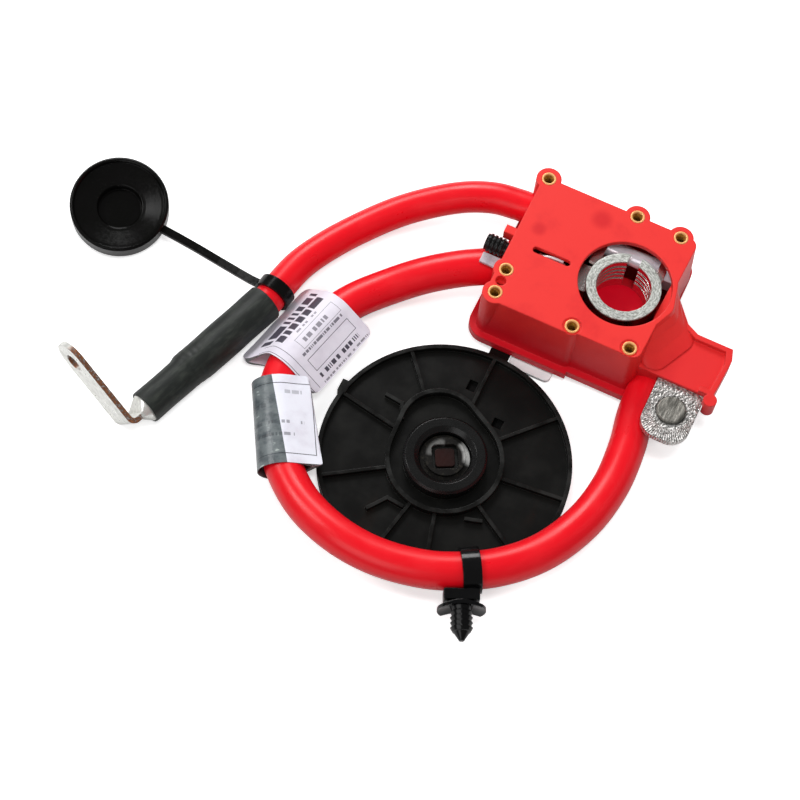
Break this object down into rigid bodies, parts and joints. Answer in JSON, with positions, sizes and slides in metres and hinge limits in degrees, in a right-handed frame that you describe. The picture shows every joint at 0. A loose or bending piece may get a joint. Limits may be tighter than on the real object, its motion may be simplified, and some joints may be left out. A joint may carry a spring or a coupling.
{
  "type": "battery cable",
  "caption": "Red car battery cable with a moulded post-clamp housing, a looped and a branch cable, a capped ring lug and a ribbed black cover plate.",
  "frame": {"origin": "on the post clamp's axis, in the plane of the foot that the housing lies on", "axes": "+Z out of the clamp's mouth, +X along the housing's long edge towards the side terminal"},
  "size_m": [0.2282, 0.1619, 0.0276],
  "materials": {
    "housing_red": "fine-grained moulding",
    "brass": "satin",
    "tinned_metal": "tin plated, cast",
    "polished_steel": "polished",
    "black_plastic": "satin moulding",
    "lug_metal": "tin plated, coarse crystals",
    "stud_steel": "zinc plated",
    "pale_tongue": "smooth",
    "hub_brown": "satin",
    "cable_red": "smooth insulation",
    "shrink_black": "satin shrink tube",
    "lug_plate": "tin plated, with a copper cut edge",
    "cap_black": "smooth",
    "tie_black": "smooth nylon",
    "label_paper": "paper",
    "label_film": "paper with a grey film"
  },
  "bodies": {
    "root": {"housing_cover": "housing_red", "housing_base": "housing_red", "brass_sleeves": "brass", "clamp_ring": "tinned_metal", "clamp_nut": "polished_steel", "link_sleeve": "tinned_metal", "side_plug": "black_plastic", "plug_clip": "polished_steel", "loop_start_crimp": "tinned_metal", "branch_crimp": "tinned_metal", "bus_bar": "tinned_metal", "terminal_lug": "lug_metal", "lug_stud": "stud_steel", "loop_end_crimp": "tinned_metal", "flange_tongue": "pale_tongue", "cover_plate": "black_plastic", "hub_collar": "black_plastic", "hub_contact": "stud_steel", "hub_core": "hub_brown", "branch_cable": "cable_red", "loop_cable": "cable_red", "heat_shrink_sleeve": "shrink_black", "angle_lug": "lug_plate", "cable_tie": "tie_black", "tie_anchor": "tie_black", "label_wrap": "label_paper", "label_fold": "label_film"},
    "bolt": {"clamp_bolt": "polished_steel"},
    "cap": {"terminal_cap": "cap_black"}
  },
  "joints": [
    {"name": "bolt_turn", "type": "hinge", "parent": "root", "child": "bolt", "pos_m": [0, 0.0161, 0.019], "axis": [1, 0, 0], "continuous": true},
    {"name": "cap_swivel", "type": "hinge", "parent": "root", "child": "cap", "pos_m": [-0.1065, -0.04366, 0.00671], "axis": [0.1573, 0.9876, 0], "range_deg": [0, 140]}
  ]
}
